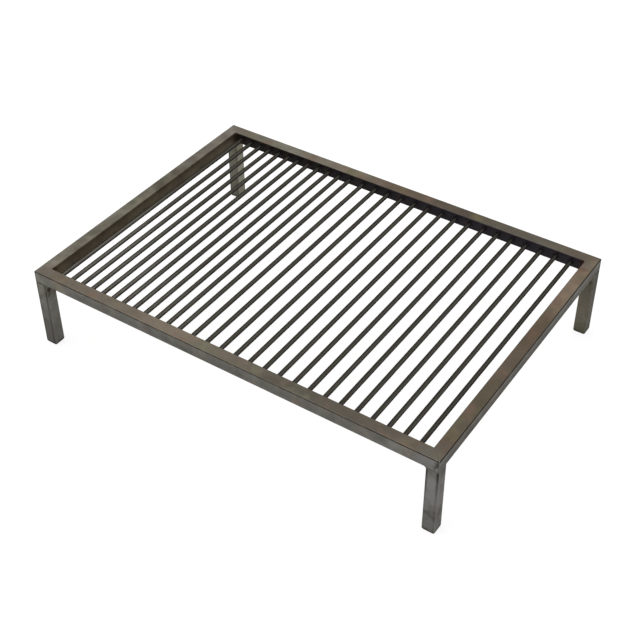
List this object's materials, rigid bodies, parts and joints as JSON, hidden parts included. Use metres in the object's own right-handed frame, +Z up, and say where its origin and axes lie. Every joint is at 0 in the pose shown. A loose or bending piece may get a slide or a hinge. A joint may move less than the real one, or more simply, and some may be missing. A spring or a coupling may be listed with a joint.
{
  "type": "campfire cooking grate",
  "caption": "Low rectangular cooking grate of mitred square steel tube with parallel round rods, standing over a fire on short square legs.",
  "frame": {"origin": "centre of the footprint, on the ground under the feet", "axes": "+X along the long side, towards the end with the wide rod spacing; +Y to the rear, along the rods; +Z up"},
  "size_m": [0.7, 0.5, 0.14],
  "materials": {
    "rail_steel": "raw mild steel tube, browned and lightly oiled, ground at the corners",
    "leg_steel": "raw mild steel tube, grey, with heat tint near the top weld",
    "foot_steel": "dark raw steel plate",
    "rod_steel": "dark drawn steel bar, satin",
    "weld_metal": "dark weld metal, ground flush on the outside faces"
  },
  "bodies": {
    "root": {"front_rail": "rail_steel", "rear_rail": "rail_steel", "left_rail": "rail_steel", "right_rail": "rail_steel", "front_left_leg": "leg_steel", "front_right_leg": "leg_steel", "rear_left_leg": "leg_steel", "rear_right_leg": "leg_steel", "front_left_foot_plate": "foot_steel", "front_right_foot_plate": "foot_steel", "rear_left_foot_plate": "foot_steel", "rear_right_foot_plate": "foot_steel", "rod_01": "rod_steel", "rod_02": "rod_steel", "rod_03": "rod_steel", "rod_04": "rod_steel", "rod_05": "rod_steel", "rod_06": "rod_steel", "rod_07": "rod_steel", "rod_08": "rod_steel", "rod_09": "rod_steel", "rod_10": "rod_steel", "rod_11": "rod_steel", "rod_12": "rod_steel", "rod_13": "rod_steel", "rod_14": "rod_steel", "rod_15": "rod_steel", "rod_16": "rod_steel", "rod_17": "rod_steel", "rod_18": "rod_steel", "rod_19": "rod_steel", "rod_20": "rod_steel", "rod_21": "rod_steel", "rod_22": "rod_steel", "rod_23": "rod_steel", "rod_24": "rod_steel", "rod_25": "rod_steel", "rod_26": "rod_steel", "rod_27": "rod_steel", "rod_28": "rod_steel", "front_left_mitre_weld": "weld_metal", "front_right_mitre_weld": "weld_metal", "rear_left_mitre_weld": "weld_metal", "rear_right_mitre_weld": "weld_metal", "front_left_leg_weld": "weld_metal", "front_right_leg_weld": "weld_metal", "rear_left_leg_weld": "weld_metal", "rear_right_leg_weld": "weld_metal", "foot_plate_welds": "weld_metal", "front_rod_welds": "weld_metal", "rear_rod_welds": "weld_metal"}
  },
  "joints": []
}
